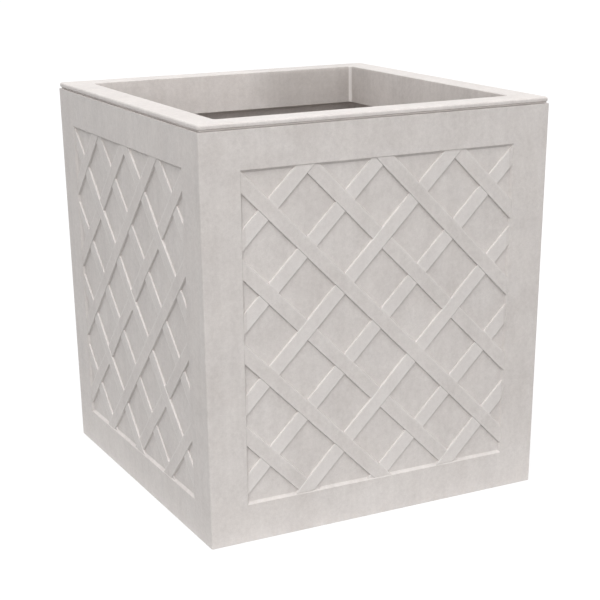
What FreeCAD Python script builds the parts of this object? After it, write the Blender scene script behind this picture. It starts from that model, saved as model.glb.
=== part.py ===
"""Square plastic planter with woven lattice walls and a lift-off rim frame.

Millimetres, +Z up. The origin is the centre of the square that the planter stands on.
The front wall looks along -Y and the left wall along -X.
"""
import FreeCAD
import Part
import Sketcher
import math
import os

# Driving sizes: name, value, what it measures
SIZES = (
    ("top_width", 406.4, "outer width of the shell along its top edge"),
    ("body_height", 428.2, "height of the shell"),
    ("wall_lean", 6.25, "how far each wall leans out from its foot to its head"),
    ("wall", 5.0, "thickness of the walls at the rails"),
    ("shell_corner_radius", 2.0, "upright outer corners of the shell"),
    ("cavity_corner_radius", 8.0, "upright corners inside the shell"),
    ("cavity_floor_radius", 5.0, "edge between the walls and the floor inside"),
    ("floor_thickness", 5.0, "floor plate"),
    ("foot_height", 14.0, "ground to the underside of the floor plate"),
    ("floor_rib_thickness", 3.0, "ribs under the floor"),
    ("floor_rib_depth", 3.5, "ribs below the floor plate"),
    ("floor_rib_pitch", 64.0, "distance from one rib to the next"),
    ("drain_bore", 16.0, "drain holes"),
    ("bottom_rail", 40.8, "plain band under each panel"),
    ("top_rail", 39.5, "plain band over each panel"),
    ("stile_bottom", 41.3, "plain band beside each panel at its foot"),
    ("stile_top", 43.0, "plain band beside each panel at its head"),
    ("recess_depth", 2.7, "panel ground below the face of the wall"),
    ("lath_width", 14.5, "flat top of a lath"),
    ("lath_sink", 0.5, "flat top of a lath below the face of the wall"),
    ("lath_pitch", 60.9, "distance from one lath to the next, square across them"),
    ("weave_dip", 0.6, "how far a lath dips where it passes under another"),
    ("lattice_rise", 3.35, "middle crossing above the middle of the panel"),
    ("rim_inset", 0.6, "rim frame's outer edge inside the shell's top edge"),
    ("flange_width", 30.6, "flat top of the rim frame, from its outer edge to the opening"),
    ("flange_thickness", 4.8, "flat top of the rim frame"),
    ("reveal", 2.1, "shadow gap between the shell and the rim frame"),
    ("skirt_depth", 45.0, "rim frame's top face to the lower edge of its skirt"),
    ("skirt_thickness", 3.0, "skirt"),
    ("opening_corner_radius", 3.0, "upright corners of the opening"),
    ("rim_corner_radius", 3.5, "upright outer corners of the rim frame"),
    ("rim_nose_radius", 2.0, "upper outer edge of the flat top"),
    ("rim_under_bevel", 0.6, "lower outer edge of the flat top"),
    ("opening_edge_bevel", 0.7, "edge of the flat top along the opening"),
    ("seat_inset", 2.6, "shell face to the seat rib of the rim frame"),
    ("seat_width", 2.2, "seat rib"),
    ("seat_clearance", 0.3, "play under a part that rests on another"),
    ("tongue_clearance", 1.5, "play between the tongue and the shell"),
    ("tongue_thickness", 2.6, "tongue that keeps the rim frame in place"),
    ("tongue_depth", 16.0, "tongue below the flat top"),
    ("gusset_thickness", 2.5, "webs between the tongue and the skirt"),
    ("gusset_depth", 13.0, "webs below the flat top"),
    ("gusset_pitch", 74.0, "distance from one web to the next"),
    ("plug_head_width", 27.0, "head of a drain plug"),
    ("plug_head_thickness", 3.0, "head of a drain plug"),
    ("plug_head_bevel", 1.0, "upper edge of the head"),
    ("plug_fit", 0.35, "play between a plug and its drain hole, all round"),
    ("plug_tip_bevel", 1.2, "lower edge of a plug's stem"),
    ("plug_length", 9.0, "stem of a plug below its head"),
    ("plug_tab_width", 15.0, "finger tab on a plug"),
    ("plug_tab_thickness", 3.2, "finger tab on a plug"),
    ("plug_tab_height", 10.0, "finger tab above the head"),
    ("plug_tab_radius", 4.0, "upper corners of the finger tab"),
    ("overrun", 2.0, "how far cutting shapes reach past what they cut"),
)
SIZE = {name: value for name, value, _ in SIZES}

LATH_DRAFT = math.radians(20)
FLOOR_RIBS = 5
GUSSETS = 5
SIDES = 4
FULL_TURN = 360
QUARTER_TURN = 90
LATH_TURN = 45
WALLS = ("front", "right", "rear", "left")
PLUG_CORNERS = {
    "front_left": (-1, -1),
    "front_right": (1, -1),
    "rear_left": (-1, 1),
    "rear_right": (1, 1),
}

HALF_SHARE = 0.5
DRAIN_PITCH_SHARE = 1.5
SAME_LENGTH_SHARE = 0.01
LEAN = "Sizes.wall_lean / Sizes.body_height"
FOOT_HALF = "(Sizes.top_width / 2 - Sizes.wall_lean)"
FLOOR_TOP = "(Sizes.foot_height + Sizes.floor_thickness)"
RIM_BASE = "(Sizes.body_height + Sizes.reveal)"

doc = FreeCAD.newDocument("Planter")


def make_sheet():
    """Writes the driving sizes into the document's spreadsheet."""
    sheet = doc.addObject("Spreadsheet::Sheet", "Sizes")
    for row, (name, value, note) in enumerate(SIZES, 1):
        sheet.set(f"A{row}", note)
        sheet.set(f"B{row}", str(value))
        sheet.setAlias(f"B{row}", name)
    doc.recompute()


def place(**shares):
    """A position as a sum of shares of named sizes: its number and its formula."""
    number = sum(share * SIZE[name] for name, share in shares.items())
    formula = " + ".join(f"({share}) * Sizes.{name}" for name, share in shares.items())
    return number, formula


def opposite(spot):
    """The place on the other side of the origin."""
    number, formula = spot
    return -number, f"-({formula})"


def turned_about(x, y, z, angle):
    """A placement at the origin, turned about an axis."""
    return FreeCAD.Placement(FreeCAD.Vector(), FreeCAD.Rotation(FreeCAD.Vector(x, y, z), angle))


def bind(thing, **formulas):
    """Ties properties to formulas on the sheet."""
    for name, formula in formulas.items():
        thing.setExpression(name, formula)


def new_body(label):
    """An empty body with the sub-part's name."""
    body = doc.addObject("PartDesign::Body", label)
    body.Label = label
    return body


def origin_item(body, role):
    """One of the body's own planes or axes."""
    return next(item for item in body.Origin.OriginFeatures if item.Role == role)


def new_sketch(body, name, role="XY_Plane", lift=None):
    """An empty sketch on one of the body's own planes, lifted off it if asked."""
    sketch = body.newObject("Sketcher::SketchObject", name)
    sketch.AttachmentSupport = (origin_item(body, role), [""])
    sketch.MapMode = "FlatFace"
    if lift:
        sketch.setExpression("AttachmentOffset.Base.z", lift)
    return sketch


def add_outline(sketch, points):
    """Draws a closed outline through points that are pairs of places."""
    first = sketch.GeometryCount
    ends = [FreeCAD.Vector(x[0], y[0], 0) for x, y in points]
    for start, end in zip(ends, ends[1:] + ends[:1]):
        sketch.addGeometry(Part.LineSegment(start, end), False)
    for step, point in enumerate(points):
        line = first + step
        after = first + (step + 1) % len(points)
        sketch.addConstraint(Sketcher.Constraint("Coincident", line, 2, after, 1))
        for kind, (number, formula) in zip(("DistanceX", "DistanceY"), point):
            index = sketch.addConstraint(Sketcher.Constraint(kind, line, 1, number))
            if formula:
                sketch.setExpression(f"Constraints[{index}]", formula)


def rectangle(x_low, x_high, y_low, y_high):
    """The corners of a rectangle."""
    return [(x_low, y_low), (x_high, y_low), (x_high, y_high), (x_low, y_high)]


def square(half):
    """The corners of a centred square."""
    low = opposite(half)
    return rectangle(low, half, low, half)


def pad(body, name, sketch, length, down=False):
    """Raises a sketch into a solid, up or down from its plane."""
    feature = body.newObject("PartDesign::Pad", name)
    feature.Profile = sketch
    feature.Reversed = down
    bind(feature, Length=length)
    doc.recompute()
    return feature


def pocket_up(body, name, sketch, length):
    """Cuts a sketch upwards out of the body."""
    before = body.Shape.Volume
    feature = body.newObject("PartDesign::Pocket", name)
    feature.Profile = sketch
    feature.Reversed = True
    bind(feature, Length=length)
    doc.recompute()
    if body.Shape.Volume >= before:
        raise RuntimeError(f"{name} cuts nothing")
    return feature


def row_pattern(body, name, role, count, length):
    """A row of copies along one of the body's axes."""
    pattern = body.newObject("PartDesign::LinearPattern", name)
    pattern.Direction = (origin_item(body, role), [""])
    pattern.Occurrences = count
    bind(pattern, Length=length)
    return pattern


def ring_pattern(body, name):
    """Copies round the upright axis, one for each side."""
    pattern = body.newObject("PartDesign::PolarPattern", name)
    pattern.Axis = (origin_item(body, "Z_Axis"), [""])
    pattern.Angle = FULL_TURN
    pattern.Occurrences = SIDES
    return pattern


def same(one, other):
    """Whether two lengths are equal for picking edges."""
    return abs(one - other) < SIZE["recess_depth"] * SAME_LENGTH_SHARE


def dress(body, kind, name, size, test):
    """Rounds or bevels the edges of the body whose bounds pass a test."""
    base = body.Tip
    names = [f"Edge{index}" for index, edge in enumerate(base.Shape.Edges, 1) if test(edge.BoundBox)]
    if not names:
        raise RuntimeError(f"{name} finds no edges")
    feature = body.newObject(f"PartDesign::{kind}", name)
    feature.Base = (base, names)
    bind(feature, **{"Radius" if kind == "Fillet" else "Size": size})
    doc.recompute()


def upright_corner(box, half, height):
    """Whether an edge is a tall corner edge that reaches the given half width."""
    reach = max(abs(box.XMin), abs(box.XMax))
    across = max(abs(box.YMin), abs(box.YMax))
    return box.ZLength > height * HALF_SHARE and same(reach, half) and same(across, half)


def along_square(box, half, level):
    """Whether an edge lies at a level, along a centred square of the given half width."""
    reach = max(abs(box.XMin), abs(box.XMax), abs(box.YMin), abs(box.YMax))
    return same(box.ZMin, level) and same(box.ZMax, level) and same(reach, half)


def half_width_at(level):
    """Formula for half the outer width of the shell at a level."""
    return f"({FOOT_HALF} + {LEAN} * {level})"


def shell_frustum(body, kind, name, low, high, inset):
    """A square frustum that follows the shell's walls, inset from their faces."""
    wedge = body.newObject(f"PartDesign::{kind}", name)
    wedge.Placement = turned_about(1, 0, 0, QUARTER_TURN)
    foot = f"({half_width_at(low)} - {inset})"
    head = f"({half_width_at(high)} - {inset})"
    bind(wedge, Ymin=low, Ymax=high)
    bind(wedge, Xmin=f"-{foot}", Xmax=foot, Zmin=f"-{foot}", Zmax=foot)
    bind(wedge, X2min=f"-{head}", X2max=head, Z2min=f"-{head}", Z2max=head)
    doc.recompute()


def make_shell_blank():
    """The moulded box with its floor, foot, ribs and drain holes, before the panels."""
    body = new_body("shell_blank")
    height = SIZE["body_height"]
    floor_top = SIZE["foot_height"] + SIZE["floor_thickness"]
    outer_half = SIZE["top_width"] * HALF_SHARE
    cavity_half = outer_half - SIZE["wall"]
    shell_frustum(body, "AdditiveWedge", "walls", "0", "Sizes.body_height", "0")
    dress(body, "Fillet", "outer_corners", "Sizes.shell_corner_radius",
          lambda box: upright_corner(box, outer_half, height))
    shell_frustum(body, "SubtractiveWedge", "cavity", FLOOR_TOP, "Sizes.body_height", "Sizes.wall")
    dress(body, "Fillet", "cavity_corners", "Sizes.cavity_corner_radius",
          lambda box: upright_corner(box, cavity_half, height))
    dress(body, "Fillet", "cavity_floor_edge", "Sizes.cavity_floor_radius",
          lambda box: same(box.ZMin, floor_top) and same(box.ZMax, floor_top))

    foot = new_sketch(body, "foot_outline")
    add_outline(foot, square(place(top_width=HALF_SHARE, wall_lean=-1, wall=-1)))
    pocket_up(body, "foot_hollow", foot, "Sizes.foot_height")

    first = (FLOOR_RIBS - 1) * HALF_SHARE
    rib_reach = place(top_width=HALF_SHARE, wall_lean=-1, wall=-HALF_SHARE)
    rib_low = place(floor_rib_pitch=-first, floor_rib_thickness=-HALF_SHARE)
    rib_high = place(floor_rib_pitch=-first, floor_rib_thickness=HALF_SHARE)
    rib_row = f"Sizes.floor_rib_pitch * {FLOOR_RIBS - 1}"
    rib_low_edge = "Sizes.foot_height - Sizes.floor_rib_depth"
    lines = {"X_Axis": rectangle(rib_low, rib_high, opposite(rib_reach), rib_reach),
             "Y_Axis": rectangle(opposite(rib_reach), rib_reach, rib_low, rib_high)}
    for role, corners in lines.items():
        sketch = new_sketch(body, f"rib_outline_{role[0]}", lift=rib_low_edge)
        add_outline(sketch, corners)
        rib = pad(body, f"rib_{role[0]}", sketch, "Sizes.floor_rib_depth")
        ribs = row_pattern(body, f"ribs_{role[0]}", role, FLOOR_RIBS, rib_row)
        ribs.Originals = [rib]
        body.Tip = ribs
        doc.recompute()

    drain = new_sketch(body, "drain_outline")
    spot = place(floor_rib_pitch=DRAIN_PITCH_SHARE)
    bore = place(drain_bore=HALF_SHARE)
    centre = FreeCAD.Vector(spot[0], spot[0], 0)
    drain.addGeometry(Part.Circle(centre, FreeCAD.Vector(0, 0, 1), bore[0]), False)
    for kind, (number, formula) in (("DistanceX", spot), ("DistanceY", spot)):
        index = drain.addConstraint(Sketcher.Constraint(kind, 0, 3, number))
        drain.setExpression(f"Constraints[{index}]", formula)
    index = drain.addConstraint(Sketcher.Constraint("Radius", 0, bore[0]))
    drain.setExpression(f"Constraints[{index}]", bore[1])
    hole = pocket_up(body, "drain_hole", drain, f"{FLOOR_TOP} + Sizes.overrun")
    holes = ring_pattern(body, "drain_holes")
    holes.Originals = [hole]
    body.Tip = holes
    doc.recompute()
    return body


def face_height():
    """Height of a wall's face, measured along the face."""
    return math.hypot(SIZE["body_height"], SIZE["wall_lean"])


def panel_half_width(height, stile):
    """Half the width of a panel at a height along the wall's face."""
    foot_half = SIZE["top_width"] * HALF_SHARE - SIZE["wall_lean"]
    return foot_half + SIZE["wall_lean"] * height / face_height() - stile


def make_recess(label):
    """Space of a sunk panel, in the frame of a wall's face: X right, Y up, Z outwards."""
    body = new_body(label)
    wedge = body.newObject("PartDesign::AdditiveWedge", f"{label}_space")
    head = "(Sizes.body_height - Sizes.top_rail)"
    foot_half = f"({half_width_at('Sizes.bottom_rail')} - Sizes.stile_bottom)"
    head_half = f"({half_width_at(head)} - Sizes.stile_top)"
    bind(wedge, Ymin="Sizes.bottom_rail", Ymax=head)
    bind(wedge, Xmin=f"-{foot_half}", Xmax=foot_half, X2min=f"-{head_half}", X2max=head_half)
    bind(wedge, Zmin="-Sizes.recess_depth", Z2min="-Sizes.recess_depth")
    bind(wedge, Zmax="Sizes.overrun", Z2max="Sizes.overrun")
    doc.recompute()
    dress(body, "Chamfer", f"{label}_bevel", "Sizes.recess_depth",
          lambda box: same(box.ZMin, -SIZE["recess_depth"]) and same(box.ZMax, -SIZE["recess_depth"]))
    return body


def rising_over_odd(falling, rising):
    """Front and rear weave: the rising lath is on top where both are odd ones."""
    return falling % 2 == 1 and rising % 2 == 1


def rising_over_unless_even(falling, rising):
    """Side weave: the rising lath is on top unless both are even ones."""
    return not (falling % 2 == 0 and rising % 2 == 0)


def lath(levels):
    """A strip along X with drafted sides, whose top follows the levels of its crossings."""
    start = levels[0][0] - SIZE["lath_pitch"]
    finish = levels[-1][0] + SIZE["lath_pitch"]
    half = SIZE["lath_width"] * HALF_SHARE
    top = -SIZE["lath_sink"]
    root = -SIZE["recess_depth"] - SIZE["overrun"]
    foot_half = half + (top - root) * math.tan(LATH_DRAFT)
    section = [(-foot_half, root), (foot_half, root), (half, top), (-half, top)]
    corners = [FreeCAD.Vector(start, y, z) for y, z in section]
    end = Part.Face(Part.makePolygon(corners + corners[:1]))
    bar = end.extrude(FreeCAD.Vector(finish - start, 0, 0))
    outline = [(start, root), (start, top)]
    for middle, level in levels:
        outline += [(middle - half, level), (middle + half, level)]
    outline += [(finish, top), (finish, root)]
    side = [FreeCAD.Vector(x, -foot_half, z) for x, z in outline]
    wave = Part.Face(Part.makePolygon(side + side[:1]))
    profile = wave.extrude(FreeCAD.Vector(0, 2 * foot_half, 0))
    return bar.common(profile)


def weave_levels(number, rising, rising_over, reach_x, reach_y):
    """Crossings along one lath that touch the panel: their places and levels."""
    pitch = SIZE["lath_pitch"]
    step = pitch * math.sqrt(2) * HALF_SHARE
    levels = []
    farthest = math.ceil((reach_x + reach_y) / step)
    for other in range(-farthest, farthest + 1):
        falling_number, rising_number = (other, number) if rising else (number, other)
        across = (falling_number + rising_number) * step
        up = (falling_number - rising_number) * step
        if abs(across) < reach_x and abs(up) < reach_y:
            on_top = rising_over(falling_number, rising_number) == rising
            dip = 0 if on_top else SIZE["weave_dip"]
            levels.append((other * pitch, -SIZE["lath_sink"] - dip))
    return levels


def make_laths(label, rising_over):
    """All laths of one panel, woven by the given rule, in the frame of a wall's face."""
    low = SIZE["bottom_rail"]
    high = face_height() - SIZE["top_rail"]
    edge_x = max(panel_half_width(low, SIZE["stile_bottom"]), panel_half_width(high, SIZE["stile_top"]))
    edge_y = (high - low) * HALF_SHARE + SIZE["lattice_rise"]
    reach_x = edge_x + SIZE["lath_width"] * HALF_SHARE
    reach_y = edge_y + SIZE["lath_width"] * HALF_SHARE
    pitch = SIZE["lath_pitch"]
    count = int((edge_x + edge_y) / (pitch * math.sqrt(2)))
    middle = FreeCAD.Vector(0, (low + high) * HALF_SHARE + SIZE["lattice_rise"], 0)
    normal = FreeCAD.Vector(0, 0, 1)
    laths = []
    for rising, turn in ((True, LATH_TURN), (False, -LATH_TURN)):
        for number in range(-count, count + 1):
            levels = weave_levels(number, rising, rising_over, reach_x, reach_y)
            if not levels:
                continue
            strip = lath(levels)
            offset = -number * pitch if rising else number * pitch
            strip.translate(FreeCAD.Vector(0, offset, 0))
            strip.rotate(FreeCAD.Vector(), normal, turn)
            strip.translate(middle)
            laths.append(strip)
    feature = doc.addObject("Part::Feature", label)
    feature.Shape = laths[0].multiFuse(laths[1:]).removeSplitter()
    return feature


def make_panel_space(label, rising_over):
    """What is cut out of a wall to leave its woven panel, stood against the front wall."""
    space = doc.addObject("Part::Cut", label)
    space.Base = make_recess(f"{label}_recess")
    space.Tool = make_laths(f"{label}_laths", rising_over)
    space.Placement = turned_about(1, 0, 0, QUARTER_TURN)
    space.setExpression("Placement.Base.y", f"-{FOOT_HALF}")
    space.setExpression("Placement.Rotation.Angle", f"90 deg + atan({LEAN})")
    doc.recompute()
    return space


def make_outer_shell():
    """The shell with a woven panel sunk into each of its four walls."""
    blank = make_shell_blank()
    front = make_panel_space("front_weave", rising_over_odd)
    side = make_panel_space("side_weave", rising_over_unless_even)
    spaces = []
    for turns, wall in enumerate(WALLS):
        space = doc.addObject("App::Link", f"{wall}_panel")
        space.LinkedObject = front if wall in ("front", "rear") else side
        space.LinkTransform = True
        space.Placement = turned_about(0, 0, 1, turns * QUARTER_TURN)
        spaces.append(space)
    panels = doc.addObject("Part::Compound", "panel_spaces")
    panels.Links = spaces
    shell = doc.addObject("Part::Cut", "outer_shell")
    shell.Label = "outer_shell"
    shell.Base = blank
    shell.Tool = panels
    doc.recompute()
    return shell


def add_ring(body, name, outer, inner, length, down=True):
    """Adds a square ring to the rim frame, hanging from the underside of its flat top."""
    sketch = new_sketch(body, f"{name}_outline")
    add_outline(sketch, square(outer))
    add_outline(sketch, square(inner))
    pad(body, name, sketch, length, down)


def make_rim_frame():
    """The loose frame: a flat top, a skirt, a seat rib, a tongue and webs."""
    body = new_body("rim_frame")
    body.setExpression("Placement.Base.z", RIM_BASE)
    rim = place(top_width=HALF_SHARE, rim_inset=-1)
    opening = place(top_width=HALF_SHARE, rim_inset=-1, flange_width=-1)
    skirt = place(top_width=HALF_SHARE, rim_inset=-1, flange_width=-1, skirt_thickness=1)
    seat = place(top_width=HALF_SHARE, seat_inset=-1)
    seat_inner = place(top_width=HALF_SHARE, seat_inset=-1, seat_width=-1)
    tongue = place(top_width=HALF_SHARE, wall=-1, tongue_clearance=-1)
    tongue_inner = place(top_width=HALF_SHARE, wall=-1, tongue_clearance=-1, tongue_thickness=-1)
    add_ring(body, "flat_top", rim, opening, "Sizes.flange_thickness", down=False)
    add_ring(body, "skirt", skirt, opening, "Sizes.skirt_depth - Sizes.flange_thickness")
    add_ring(body, "tongue", tongue, tongue_inner, "Sizes.tongue_depth")
    add_ring(body, "seat_rib", seat, seat_inner, "Sizes.reveal - Sizes.seat_clearance")

    first = (GUSSETS - 1) * HALF_SHARE
    sketch = new_sketch(body, "web_outline")
    near = place(top_width=-HALF_SHARE, rim_inset=1, flange_width=1, skirt_thickness=-HALF_SHARE)
    far = place(top_width=-HALF_SHARE, wall=1, tongue_clearance=1, tongue_thickness=HALF_SHARE)
    low = place(gusset_pitch=-first, gusset_thickness=-HALF_SHARE)
    high = place(gusset_pitch=-first, gusset_thickness=HALF_SHARE)
    add_outline(sketch, rectangle(low, high, far, near))
    web = pad(body, "web", sketch, "Sizes.gusset_depth", down=True)
    webs = body.newObject("PartDesign::MultiTransform", "webs")
    webs.Originals = [web]
    row = row_pattern(body, "web_row", "X_Axis", GUSSETS, f"Sizes.gusset_pitch * {GUSSETS - 1}")
    webs.Transformations = [row, ring_pattern(body, "web_sides")]
    body.Tip = webs
    doc.recompute()

    flange = SIZE["flange_thickness"]
    skirt_drop = SIZE["skirt_depth"]
    dress(body, "Fillet", "opening_corners", "Sizes.opening_corner_radius",
          lambda box: upright_corner(box, opening[0], skirt_drop))
    dress(body, "Fillet", "skirt_corners", "Sizes.opening_corner_radius + Sizes.skirt_thickness",
          lambda box: upright_corner(box, skirt[0], skirt_drop))
    dress(body, "Fillet", "tongue_corners", "Sizes.cavity_corner_radius - Sizes.tongue_clearance",
          lambda box: upright_corner(box, tongue[0], SIZE["tongue_depth"]))
    tongue_inner_radius = "Sizes.cavity_corner_radius - Sizes.tongue_clearance - Sizes.tongue_thickness"
    dress(body, "Fillet", "tongue_inner_corners", tongue_inner_radius,
          lambda box: upright_corner(box, tongue_inner[0], SIZE["tongue_depth"]))
    dress(body, "Fillet", "outer_corners", "Sizes.rim_corner_radius",
          lambda box: upright_corner(box, rim[0], flange))
    dress(body, "Fillet", "upper_nose", "Sizes.rim_nose_radius",
          lambda box: along_square(box, rim[0], flange))
    dress(body, "Chamfer", "lower_nose", "Sizes.rim_under_bevel",
          lambda box: along_square(box, rim[0], 0))
    dress(body, "Chamfer", "opening_edge", "Sizes.opening_edge_bevel",
          lambda box: along_square(box, opening[0], flange))
    return body


def make_plug(label, side_x, side_y):
    """A push-in stopper for one drain hole, with a tab to pull it by."""
    body = new_body(label)
    body.setExpression("Placement.Base.x", f"Sizes.floor_rib_pitch * {DRAIN_PITCH_SHARE * side_x}")
    body.setExpression("Placement.Base.y", f"Sizes.floor_rib_pitch * {DRAIN_PITCH_SHARE * side_y}")
    body.setExpression("Placement.Base.z", f"{FLOOR_TOP} + Sizes.seat_clearance")
    axis = place()
    seat = place()
    head = place(plug_head_width=HALF_SHARE)
    head_top = place(plug_head_thickness=1)
    stem = place(drain_bore=HALF_SHARE, plug_fit=-1)
    tip_level = place(plug_length=-1)
    sketch = new_sketch(body, f"{label}_profile", "XZ_Plane")
    add_outline(sketch, [(axis, tip_level), (stem, tip_level), (stem, seat), (head, seat),
                         (head, head_top), (axis, head_top)])
    turned = body.newObject("PartDesign::Revolution", f"{label}_turned")
    turned.Profile = sketch
    turned.ReferenceAxis = (origin_item(body, "Z_Axis"), [""])
    turned.Angle = FULL_TURN
    doc.recompute()
    dress(body, "Chamfer", f"{label}_tip_edge", "Sizes.plug_tip_bevel",
          lambda box: same(box.ZMin, tip_level[0]) and same(box.ZMax, tip_level[0]))
    dress(body, "Chamfer", f"{label}_head_edge", "Sizes.plug_head_bevel",
          lambda box: same(box.ZMin, head_top[0]) and same(box.ZMax, head_top[0]))
    tab = new_sketch(body, f"{label}_tab_outline")
    tab_half = place(plug_tab_width=HALF_SHARE)
    tab_side = place(plug_tab_thickness=HALF_SHARE)
    add_outline(tab, rectangle(opposite(tab_half), tab_half, opposite(tab_side), tab_side))
    pad(body, f"{label}_tab", tab, "Sizes.plug_head_thickness + Sizes.plug_tab_height")
    tab_top = SIZE["plug_head_thickness"] + SIZE["plug_tab_height"]
    dress(body, "Fillet", f"{label}_tab_corners", "Sizes.plug_tab_radius",
          lambda box: same(box.ZMax, tab_top) and same(box.XLength, 0) and same(box.ZLength, 0))
    return body


def check_document():
    """Stops if any object of the document has failed."""
    for item in doc.Objects:
        if "Invalid" in item.State or "Error" in item.State:
            raise RuntimeError(f"{item.Label}: {item.State}")


def write_parts(parts):
    """Checks each sub-part and writes it to a file with its name."""
    os.makedirs("parts", exist_ok=True)
    for part in parts:
        shape = part.Shape
        if shape.isNull() or not shape.isValid() or len(shape.Solids) != 1:
            raise RuntimeError(f"{part.Label} isn't one sound solid")
        shape.exportStep(f"parts/{part.Label}.step")
        print(part.Label, "volume", round(shape.Volume), "faces", len(shape.Faces))


make_sheet()
parts = [make_outer_shell(), make_rim_frame()]
for corner, (side_x, side_y) in PLUG_CORNERS.items():
    parts.append(make_plug(f"drain_plug_{corner}", side_x, side_y))
doc.recompute()
check_document()
write_parts(parts)
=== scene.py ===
"""Looks of the square lattice planter: its materials, a pale studio floor, soft light and the camera.

Metres, +Z up. The front wall looks along -Y and the left wall along -X.
"""
import math

import bpy
from mathutils import Matrix, Vector


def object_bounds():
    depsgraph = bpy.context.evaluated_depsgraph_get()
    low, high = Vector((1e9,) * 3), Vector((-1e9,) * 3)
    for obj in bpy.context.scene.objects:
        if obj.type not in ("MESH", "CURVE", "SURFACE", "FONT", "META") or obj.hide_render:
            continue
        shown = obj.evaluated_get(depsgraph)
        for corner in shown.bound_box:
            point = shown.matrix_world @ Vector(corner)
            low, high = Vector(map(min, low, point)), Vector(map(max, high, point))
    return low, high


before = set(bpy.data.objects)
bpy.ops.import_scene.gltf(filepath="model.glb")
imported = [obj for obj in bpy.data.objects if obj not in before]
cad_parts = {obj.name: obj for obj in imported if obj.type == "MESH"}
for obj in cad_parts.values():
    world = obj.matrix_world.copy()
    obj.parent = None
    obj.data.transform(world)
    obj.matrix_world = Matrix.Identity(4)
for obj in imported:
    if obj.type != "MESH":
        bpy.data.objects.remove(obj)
cad_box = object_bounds()

# Camera: focal length in pixels of the square frame, its turns in radians and its place
FRAME_PIXELS = 600
FOCAL_PIXELS = 1477.7
SENSOR_MM = 36
CAMERA_YAW = 0.4753
CAMERA_PITCH = 0.2637
CAMERA_ROLL = -0.0099
CAMERA_PLACE = (-0.7503, -1.4732, 0.6376)

# Light: brightness of a white surface that faces the middle of each source.
# Azimuths run from the front towards the right wall. Each softbox has its azimuth and its height
# above the floor in degrees, how narrow it is, and its level.
DOME_LEVEL = 0.5
BROAD = 7
NARROW = 40
SOFTBOXES = (
    (0, 90, BROAD, 1.2),
    (0, 15, BROAD, 1.1),
    (45, 15, BROAD, 1.1),
    (-90, 48, BROAD, 0.6),
    (100, 8, BROAD, 0.7),
    (180, 8, BROAD, 2.0),
    (-45, 8, NARROW, 2.0),
    (-45, 50, NARROW, 2.0),
    (-30, 60, NARROW, 4.5),
)
KEY_LEVEL = 0.12
KEY_AZIMUTH = math.radians(-50)
KEY_HEIGHT = math.radians(22)
KEY_DISTANCE = 1.3
KEY_SIZE = 0.8
KEY_AIM = (0, 0, 0.25)

# Floor: what it returns to the walls, how much more close to their foot and how far that reaches,
# how white it looks, how much of that a shadow takes away, and where its white is taken away under the
# planter as painted shade
FLOOR_SIZE = 40.0
FLOOR_BOUNCE = 0.17
FOOT_GLOW = 0.46
FOOT_GLOW_REACH = 0.07
FLOOR_WHITE = 0.84
FLOOR_SHADOW = 0.18
PAINTED_SHADE_UNDER_FOOT = (0.180, 0.190)

# Colours as 8-bit screen values
STONE_DARK = (196, 190, 187)
STONE_LIGHT = (228, 223, 220)
STONE_WARM = (217, 207, 199)
# Pale colour of rubbed edges, of painted highlights and of painted light
STONE_RUB_AND_HIGHLIGHT = (236, 232, 229)
# The tint that darkens the rim as painted shade near its far inner corner
PAINTED_SHADE_TINT = (224, 223, 222)
RUBBER_DARK = (44, 44, 46)
RUBBER_DUST = (88, 86, 84)

# Soft noise: its usual fineness, its roughness and the middle of its range
FINENESS = 3.0
NOISE_ROUGHNESS = 0.55
MIDDLE = 0.5

# Patterns of the stone-like plastic: size of a patch, fineness, squeeze of the upright coordinate
# (which draws the patches out upright) and how far the pattern swings the tone
STONE_PATTERNS = {
    "clouds": (0.060, FINENESS, 1, 0.7),
    "blotches": (0.016, 4.0, 1, 0.55),
    "streaks": (0.012, FINENESS, 0.08, 0.5),
    "speckle": (0.0042, FINENESS, 1, 0.75),
    "grain": (0.0011, 2.0, 1, 0.6),
}
STONE_RELIEF = {"grain": 1.0, "speckle": 1.0, "blotches": 0.5}
STONE_RELIEF_STRENGTH = 0.35
STONE_RELIEF_HEIGHT = 0.00025
STONE_ROUGHNESS = 0.46
STONE_ROUGHNESS_SWING = 0.14
STONE_IOR = 1.46
SHELL_SHIFT = (0, 0, 0)
RIM_SHIFT = (3, 1, 2)
WARM_SIZE = 0.050
WARM_SHIFT = 5
WARM_SHARE = 0.30
EDGE_SOFTNESS = 0.0007

# Rubber: size and fineness of the dusty bloom and of the grain
BLOOM_SIZE = 0.009
BLOOM_FINENESS = 5.0
BLOOM_CONTRAST = 2.2
RUBBER_GRAIN_SIZE = 0.0006
RUBBER_GRAIN_FINENESS = 2.0
RUBBER_RELIEF_STRENGTH = 0.4
RUBBER_RELIEF_HEIGHT = 0.0002
RUBBER_ROUGHNESS = 0.72
RUBBER_ROUGHNESS_SWING = 0.2
RUBBER_IOR = 1.5

# The rounded upright corners inside the skirt, which get a painted highlight: where the round starts and
# ends, from the middle
CORNER_START = 0.169
CORNER_END = 0.172
CORNER_FADE = 0.0005
CORNER_PAINTED_HIGHLIGHT = 0.65

# Painted shade on the inside of the rim, darkest near its far right corner: its middle and its reach,
# the unevenness of its border, and how much of it is left on the rim's top face
PAINTED_SHADE_MIDDLE = (0.120, 0.185, 0.395)
PAINTED_SHADE_FULL = 0.050
PAINTED_SHADE_END = 0.104
PAINTED_SHADE_SHARE = 0.95
PAINTED_SHADE_BORDER_SIZE = 0.03
PAINTED_SHADE_BORDER_SWING = 0.05
PAINTED_SHADE_ON_TOP = 0.35
TOP_START = 0.430
TOP_END = 0.4345

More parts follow.
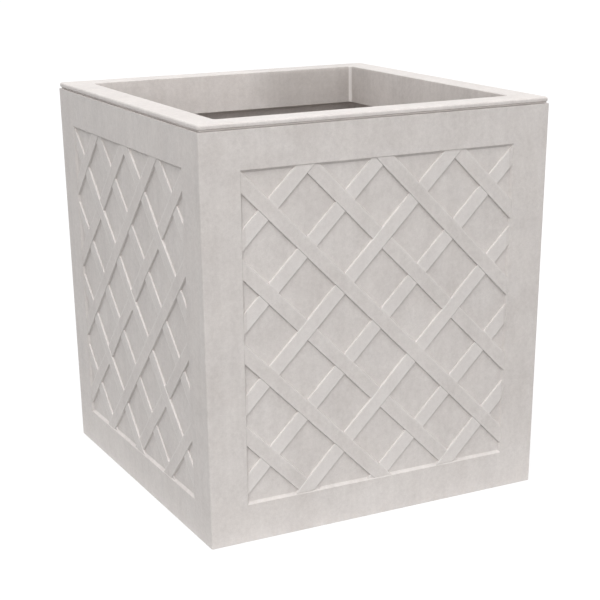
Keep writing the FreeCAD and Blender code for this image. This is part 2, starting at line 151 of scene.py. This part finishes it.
# The edges of the laths, pale as wear and as a painted highlight along their lit sides: how far from the
# edge, how far the surface turns there, and where the panels are. A lath is told from the rails and from
# the ground by its depth below the wall's face: the paleness starts, is full, is still full and has ended at
# the four depths.
EDGE_RUB_AND_HIGHLIGHT_REACH = 0.004
EDGE_RUB_AND_HIGHLIGHT_TURN = 0.03
EDGE_RUB_AND_HIGHLIGHT = 0.4
FACE_AT_FOOT = 0.19695
FACE_LEAN = 0.0146
LATH_DEPTHS = (0.00025, 0.00045, 0.0012, 0.0018)
PANEL_HALF = 0.1545
PANEL_BOTTOM = 0.0425
PANEL_TOP = 0.3870
PANEL_FADE = 0.001

# One family of laths on each wall is given painted light, the family whose lit side faces the near
# corner: the rising one in front and at the rear, the falling one at the sides. Half a lath's width and its
# fade are shares of the pitch.
LATH_PITCH = 0.0609
LATH_HALF = 0.119
LATH_FADE = 0.004
WEAVE_MIDDLE = 0.2181
PAINTED_LIGHT_IN_FRONT = 0.27
PAINTED_LIGHT_AT_SIDES = 0.12


def linear(colour):
    """An 8-bit screen colour as the linear values that a shader takes, by the sRGB curve."""
    shares = [value / 255 for value in colour]
    return [v / 12.92 if v <= 0.04045 else ((v + 0.055) / 1.055) ** 2.4 for v in shares] + [1.0]


def new_material(name):
    """A material with an empty node tree and its output."""
    material = bpy.data.materials.new(name)
    material.use_nodes = True
    tree = material.node_tree
    tree.nodes.clear()
    return material, tree, tree.nodes.new("ShaderNodeOutputMaterial")


def feed(tree, socket, value):
    """Sets an input socket, or links it to another node's output."""
    if isinstance(value, bpy.types.NodeSocket):
        tree.links.new(value, socket)
    else:
        socket.default_value = value


def add(tree, kind, **sockets):
    """A node whose input sockets are set or linked by name."""
    node = tree.nodes.new(f"ShaderNode{kind}")
    for name, value in sockets.items():
        feed(tree, node.inputs[name.replace("_", " ")], value)
    return node


def calculate(tree, operation, one, other=0):
    """The result of a calculation on one or two values or outputs."""
    node = tree.nodes.new("ShaderNodeMath")
    node.operation = operation
    feed(tree, node.inputs[0], one)
    feed(tree, node.inputs[1], other)
    return node.outputs[0]


def total(tree, values):
    """The sum of several outputs."""
    result = values[0]
    for value in values[1:]:
        result = calculate(tree, "ADD", result, value)
    return result


def product(tree, values):
    """The product of several outputs."""
    result = values[0]
    for value in values[1:]:
        result = calculate(tree, "MULTIPLY", result, value)
    return result


def vector_value(tree, operation, one, other):
    """The number that comes of two vectors, such as their distance."""
    node = tree.nodes.new("ShaderNodeVectorMath")
    node.operation = operation
    feed(tree, node.inputs[0], one)
    feed(tree, node.inputs[1], other)
    return node.outputs["Value"]


def ramp(tree, value, start, end, first, last):
    """A run from first to last while a value goes from start to end."""
    node = add(tree, "MapRange", Value=value, From_Min=start, From_Max=end, To_Min=first, To_Max=last)
    return node.outputs[0]


def blend_colours(tree, share, one, other, way="MIX"):
    """A mix of two colours by a share."""
    node = tree.nodes.new("ShaderNodeMix")
    node.data_type = "RGBA"
    node.blend_type = way
    feed(tree, node.inputs["Factor"], share)
    feed(tree, node.inputs["A"], one)
    feed(tree, node.inputs["B"], other)
    return node.outputs["Result"]


def mottle(tree, place, size, fineness=FINENESS, squeeze=1, shift=(0, 0, 0)):
    """Soft noise from 0 to 1, whose patches are about as large as the given size."""
    mapping = add(tree, "Mapping", Vector=place, Scale=(1, 1, squeeze), Location=shift)
    noise = add(tree, "TexNoise", Vector=mapping.outputs[0], Scale=1 / size, Detail=fineness,
                Roughness=NOISE_ROUGHNESS)
    return noise.outputs["Fac"]


def swing(tree, pattern, strength):
    """A pattern from 0 to 1 turned into a swing about zero."""
    return calculate(tree, "MULTIPLY", calculate(tree, "SUBTRACT", pattern, MIDDLE), strength)


def split(tree, place):
    """The three coordinates of a place."""
    axes = add(tree, "SeparateXYZ", Vector=place)
    return axes.outputs["X"], axes.outputs["Y"], axes.outputs["Z"]


def from_middle(tree, x, y):
    """The larger and the smaller of the distances from the middle along X and Y."""
    along_x = calculate(tree, "ABSOLUTE", x)
    along_y = calculate(tree, "ABSOLUTE", y)
    return calculate(tree, "MAXIMUM", along_x, along_y), calculate(tree, "MINIMUM", along_x, along_y)


def painted_corner_highlight(tree, place):
    """How strongly a highlight is painted on the rounded upright corners inside the skirt, from 0 to 1."""
    x, y, _ = split(tree, place)
    larger, smaller = from_middle(tree, x, y)
    started = ramp(tree, smaller, CORNER_START - CORNER_FADE, CORNER_START + CORNER_FADE, 0, 1)
    not_ended = ramp(tree, larger, CORNER_END + CORNER_FADE, CORNER_END + 2 * CORNER_FADE, 1, 0)
    return product(tree, [started, not_ended])


def painted_corner_shade(tree, place):
    """How much shade is painted on the inside of the rim near its far right corner, from 0 to 1."""
    border = swing(tree, mottle(tree, place, PAINTED_SHADE_BORDER_SIZE), PAINTED_SHADE_BORDER_SWING)
    away = calculate(tree, "ADD", vector_value(tree, "DISTANCE", place, PAINTED_SHADE_MIDDLE), border)
    height = split(tree, place)[2]
    return product(tree, [ramp(tree, away, PAINTED_SHADE_FULL, PAINTED_SHADE_END, PAINTED_SHADE_SHARE, 0),
                          ramp(tree, height, TOP_START, TOP_END, 1, PAINTED_SHADE_ON_TOP)])


def stripe(tree, across, number):
    """1 on the lath with the given number, else 0."""
    aside = calculate(tree, "ABSOLUTE", calculate(tree, "SUBTRACT", across, number))
    return ramp(tree, aside, LATH_HALF - LATH_FADE, LATH_HALF + LATH_FADE, 1, 0)


def painted_light_family(tree, x, y, z):
    """How much light is painted on the paler family of laths, where they aren't covered by a lath of the
    other family.
    """
    # 1 on the left and right walls, 0 in front and at the rear
    side = calculate(tree, "GREATER_THAN", calculate(tree, "ABSOLUTE", x), calculate(tree, "ABSOLUTE", y))

    # The place across the wall, seen from outside, and up it. In front and at the rear, up is turned
    # over, so that the first diagonal always crosses the paler laths.
    on_side = product(tree, [calculate(tree, "SIGN", x), y])
    on_front = product(tree, [calculate(tree, "SIGN", y), calculate(tree, "MULTIPLY", x, -1)])
    across = total(tree, [product(tree, [side, on_side]),
                          product(tree, [calculate(tree, "SUBTRACT", 1, side), on_front])])
    sense = calculate(tree, "SUBTRACT", calculate(tree, "MULTIPLY", side, 2), 1)
    up = product(tree, [sense, calculate(tree, "SUBTRACT", z, WEAVE_MIDDLE)])

    # Along the wall's two diagonals, counted in laths: whole numbers are the middles of laths
    diagonal_pitch = LATH_PITCH * math.sqrt(2)
    own = calculate(tree, "DIVIDE", calculate(tree, "ADD", across, up), diagonal_pitch)
    other = calculate(tree, "DIVIDE", calculate(tree, "SUBTRACT", across, up), diagonal_pitch)
    own_number = calculate(tree, "ROUND", own)
    other_number = calculate(tree, "ROUND", other)

    # The paler lath is on top where both numbers are odd, or at the sides where both are even
    own_on_top = product(tree, [calculate(tree, "PINGPONG", calculate(tree, "ADD", number, side), 1)
                                for number in (own_number, other_number)])
    covered = product(tree, [stripe(tree, other, other_number), calculate(tree, "SUBTRACT", 1, own_on_top)])
    # Painted light on one family of laths, stronger in front and at the rear than at the sides
    share = ramp(tree, side, 0, 1, PAINTED_LIGHT_IN_FRONT, PAINTED_LIGHT_AT_SIDES)
    return product(tree, [share, stripe(tree, own, own_number), calculate(tree, "SUBTRACT", 1, covered)])


def lath_rub_and_painted_light(tree, place):
    """How pale the laths of the panels are, from 0 to 1: rubbed edges that are partly wear and partly painted
    highlight, and painted light on one family.
    """
    x, y, z = split(tree, place)
    larger, smaller = from_middle(tree, x, y)
    face = calculate(tree, "ADD", calculate(tree, "MULTIPLY", z, FACE_LEAN), FACE_AT_FOOT)
    depth = calculate(tree, "SUBTRACT", face, larger)
    start, full, still_full, end = LATH_DEPTHS
    rounded = add(tree, "Bevel", Radius=EDGE_RUB_AND_HIGHLIGHT_REACH).outputs[0]
    normal = tree.nodes.new("ShaderNodeNewGeometry").outputs["Normal"]
    turned = vector_value(tree, "DOT_PRODUCT", rounded, normal)
    # Pale edges, partly wear and partly a painted highlight, and the painted light of the paler family
    pale = total(tree, [ramp(tree, turned, 1, 1 - EDGE_RUB_AND_HIGHLIGHT_TURN, 0, EDGE_RUB_AND_HIGHLIGHT), painted_light_family(tree, x, y, z)])
    return product(tree, [pale,
                          ramp(tree, depth, start, full, 0, 1),
                          ramp(tree, depth, still_full, end, 1, 0),
                          ramp(tree, smaller, PANEL_HALF - PANEL_FADE, PANEL_HALF, 1, 0),
                          ramp(tree, z, PANEL_BOTTOM, PANEL_BOTTOM + PANEL_FADE, 0, 1),
                          ramp(tree, z, PANEL_TOP - PANEL_FADE, PANEL_TOP, 1, 0)])


def shell_rub_and_painted_light(tree, place, colour):
    """The shell's colour with its laths paler: rubbed edges that are partly wear and partly painted
    highlight, and painted light on one family.
    """
    return blend_colours(tree, lath_rub_and_painted_light(tree, place), colour, linear(STONE_RUB_AND_HIGHLIGHT))


def rim_painted_light_and_shade(tree, place, colour):
    """The rim's colour with painted shade near its far inner corner and a painted highlight on its rounded
    inner corners.
    """
    # Painted shade near the rim's far inner corner
    colour = blend_colours(tree, painted_corner_shade(tree, place), colour, linear(PAINTED_SHADE_TINT), way="MULTIPLY")
    # A highlight painted on the rounded upright corners inside the skirt
    highlight_share = calculate(tree, "MULTIPLY", painted_corner_highlight(tree, place), CORNER_PAINTED_HIGHLIGHT)
    return blend_colours(tree, highlight_share, colour, linear(STONE_RUB_AND_HIGHLIGHT))


def stone_plastic(name, shift, wear_and_painted_light):
    """Pale plastic with a soft stone-like mottle, faint upright streaks, a fine grain, and the wear and
    painted light and shade it is given.
    """
    material, tree, output = new_material(name)
    place = add(tree, "TexCoord").outputs["Object"]
    patterns = {}
    swings = []
    for pattern, (size, fineness, squeeze, strength) in STONE_PATTERNS.items():
        patterns[pattern] = mottle(tree, place, size, fineness, squeeze, shift)
        swings.append(swing(tree, patterns[pattern], strength))
    shade = calculate(tree, "ADD", total(tree, swings), MIDDLE)
    stone = blend_colours(tree, shade, linear(STONE_DARK), linear(STONE_LIGHT))
    warmth = mottle(tree, place, WARM_SIZE, shift=tuple(value + WARM_SHIFT for value in shift))
    warm_share = calculate(tree, "MULTIPLY", warmth, WARM_SHARE)
    colour = wear_and_painted_light(tree, place, blend_colours(tree, warm_share, stone, linear(STONE_WARM)))

    uneven = swing(tree, patterns["blotches"], STONE_ROUGHNESS_SWING)
    roughness = calculate(tree, "ADD", uneven, STONE_ROUGHNESS)
    relief = total(tree, [swing(tree, patterns[pattern], share) for pattern, share in STONE_RELIEF.items()])
    soft_edges = add(tree, "Bevel", Radius=EDGE_SOFTNESS)
    bump = add(tree, "Bump", Strength=STONE_RELIEF_STRENGTH, Distance=STONE_RELIEF_HEIGHT, Height=relief,
               Normal=soft_edges.outputs[0])
    shader = add(tree, "BsdfPrincipled", Base_Color=colour, Roughness=roughness, Normal=bump.outputs[0],
                 IOR=STONE_IOR)
    tree.links.new(shader.outputs[0], output.inputs["Surface"])
    return material


def rubber(name):
    """Dark soft rubber with a dusty bloom."""
    material, tree, output = new_material(name)
    place = add(tree, "TexCoord").outputs["Object"]
    bloom = mottle(tree, place, BLOOM_SIZE, BLOOM_FINENESS)
    grain = mottle(tree, place, RUBBER_GRAIN_SIZE, RUBBER_GRAIN_FINENESS)
    dust = calculate(tree, "POWER", bloom, BLOOM_CONTRAST)
    colour = blend_colours(tree, dust, linear(RUBBER_DARK), linear(RUBBER_DUST))
    roughness = calculate(tree, "ADD", swing(tree, bloom, RUBBER_ROUGHNESS_SWING), RUBBER_ROUGHNESS)
    bump = add(tree, "Bump", Strength=RUBBER_RELIEF_STRENGTH, Distance=RUBBER_RELIEF_HEIGHT, Height=grain)
    shader = add(tree, "BsdfPrincipled", Base_Color=colour, Roughness=roughness, Normal=bump.outputs[0],
                 IOR=RUBBER_IOR)
    tree.links.new(shader.outputs[0], output.inputs["Surface"])
    return material


def dress(node_name, material):
    """Gives a piece its material."""
    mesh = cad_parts[node_name].data
    mesh.materials.clear()
    mesh.materials.append(material)


def seen_directly(tree):
    """1 for rays from the camera, from gloss and through glass, else 0."""
    path = tree.nodes.new("ShaderNodeLightPath")
    seen = calculate(tree, "MAXIMUM", path.outputs["Is Camera Ray"], path.outputs["Is Glossy Ray"])
    return calculate(tree, "MAXIMUM", seen, path.outputs["Is Transmission Ray"])


def floor_reach(tree):
    """How far out a spot of the floor is, along the axis on which it is farther."""
    x, y, _ = split(tree, tree.nodes.new("ShaderNodeNewGeometry").outputs["Position"])
    return from_middle(tree, x, y)[0]


def foot_glow(tree):
    """Light that the floor returns close to the foot of the walls, fading with distance."""
    distance = calculate(tree, "SUBTRACT", floor_reach(tree), cad_box[1].x)
    fade = calculate(tree, "POWER", math.e, calculate(tree, "DIVIDE", distance, -FOOT_GLOW_REACH))
    return calculate(tree, "MULTIPLY", calculate(tree, "MINIMUM", fade, 1), FOOT_GLOW)


def lit_grey(tree, grey, strength):
    """A diffuse grey surface with light of its own."""
    shader = add(tree, "AddShader")
    diffuse = add(tree, "BsdfDiffuse", Color=(grey, grey, grey, 1))
    light = add(tree, "Emission", Strength=strength)
    tree.links.new(diffuse.outputs[0], shader.inputs[0])
    tree.links.new(light.outputs[0], shader.inputs[1])
    return shader.outputs[0]


def make_floor():
    """A pale floor that looks white, keeps a soft shadow and has painted shade under the planter."""
    mesh = bpy.data.meshes.new("studio_floor")
    reach = FLOOR_SIZE / 2
    mesh.from_pydata([(-reach, -reach, 0), (reach, -reach, 0), (reach, reach, 0), (-reach, reach, 0)],
                     [], [(0, 1, 2, 3)])
    floor = bpy.data.objects.new("studio_floor", mesh)
    bpy.context.scene.collection.objects.link(floor)
    material, tree, output = new_material("studio_floor")
    mix = tree.nodes.new("ShaderNodeMixShader")
    tree.links.new(seen_directly(tree), mix.inputs[0])
    tree.links.new(lit_grey(tree, FLOOR_BOUNCE, foot_glow(tree)), mix.inputs[1])
    # Under the planter the floor's white is taken away: painted shade
    white = ramp(tree, floor_reach(tree), *PAINTED_SHADE_UNDER_FOOT, 0, FLOOR_WHITE)
    tree.links.new(lit_grey(tree, FLOOR_SHADOW, white), mix.inputs[2])
    tree.links.new(mix.outputs[0], output.inputs["Surface"])
    mesh.materials.append(material)


def direction(azimuth, height):
    """Unit vector towards a light at an azimuth and a height above the floor."""
    level = math.cos(height)
    return Vector((math.sin(azimuth) * level, -math.cos(azimuth) * level, math.sin(height)))


def facing(tree, toward):
    """How squarely the sky is looked at in a direction, from 0 to 1."""
    way = add(tree, "TexCoord").outputs["Generated"]
    return calculate(tree, "MAXIMUM", vector_value(tree, "DOT_PRODUCT", way, toward), 0)


def make_sky():
    """A dome that is brightest overhead, with softboxes in it, white where it is seen."""
    world = bpy.data.worlds.new("studio_sky")
    world.use_nodes = True
    tree = world.node_tree
    tree.nodes.clear()
    output = tree.nodes.new("ShaderNodeOutputWorld")
    parts = [calculate(tree, "MULTIPLY", facing(tree, (0, 0, 1)), DOME_LEVEL)]
    for azimuth, height, narrowness, level in SOFTBOXES:
        squarely = facing(tree, direction(math.radians(azimuth), math.radians(height)))
        parts.append(calculate(tree, "MULTIPLY", calculate(tree, "POWER", squarely, narrowness), level))
    seen = seen_directly(tree)
    unseen = calculate(tree, "SUBTRACT", 1, seen)
    strength = calculate(tree, "ADD", seen, calculate(tree, "MULTIPLY", unseen, total(tree, parts)))
    background = add(tree, "Background", Color=(1, 1, 1, 1), Strength=strength)
    tree.links.new(background.outputs[0], output.inputs["Surface"])
    bpy.context.scene.world = world


def make_key():
    """A near soft lamp, in front of the left corner."""
    toward = direction(KEY_AZIMUTH, KEY_HEIGHT)
    data = bpy.data.lights.new("key_lamp", "AREA")
    data.shape = "DISK"
    data.size = KEY_SIZE
    data.energy = KEY_LEVEL * (math.pi * KEY_DISTANCE) ** 2
    lamp = bpy.data.objects.new("key_lamp", data)
    lamp.location = Vector(KEY_AIM) + toward * KEY_DISTANCE
    lamp.rotation_mode = "QUATERNION"
    lamp.rotation_quaternion = toward.to_track_quat("Z", "Y")
    bpy.context.scene.collection.objects.link(lamp)


def make_camera():
    """The camera at the photograph's place, turned by its yaw, pitch and roll."""
    forward = Vector((math.sin(CAMERA_YAW) * math.cos(CAMERA_PITCH),
                      math.cos(CAMERA_YAW) * math.cos(CAMERA_PITCH),
                      -math.sin(CAMERA_PITCH)))
    level = Vector((math.cos(CAMERA_YAW), -math.sin(CAMERA_YAW), 0))
    upright = level.cross(forward)
    right = math.cos(CAMERA_ROLL) * level + math.sin(CAMERA_ROLL) * upright
    up = math.cos(CAMERA_ROLL) * upright - math.sin(CAMERA_ROLL) * level
    turn = Matrix((right, up, -forward)).transposed()
    data = bpy.data.cameras.new("camera")
    data.sensor_width = SENSOR_MM
    data.lens = SENSOR_MM * FOCAL_PIXELS / FRAME_PIXELS
    camera = bpy.data.objects.new("camera", data)
    camera.matrix_world = Matrix.Translation(Vector(CAMERA_PLACE)) @ turn.to_4x4()
    bpy.context.scene.collection.objects.link(camera)
    bpy.context.scene.camera = camera


dress("outer_shell", stone_plastic("shell_stone_plastic", SHELL_SHIFT, shell_rub_and_painted_light))
dress("rim_frame", stone_plastic("rim_stone_plastic", RIM_SHIFT, rim_painted_light_and_shade))
plug_material = rubber("plug_rubber")
for node_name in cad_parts:
    if node_name.startswith("drain_plug"):
        dress(node_name, plug_material)
make_floor()
make_sky()
make_key()
make_camera()
bpy.context.scene.view_settings.view_transform = "Standard"
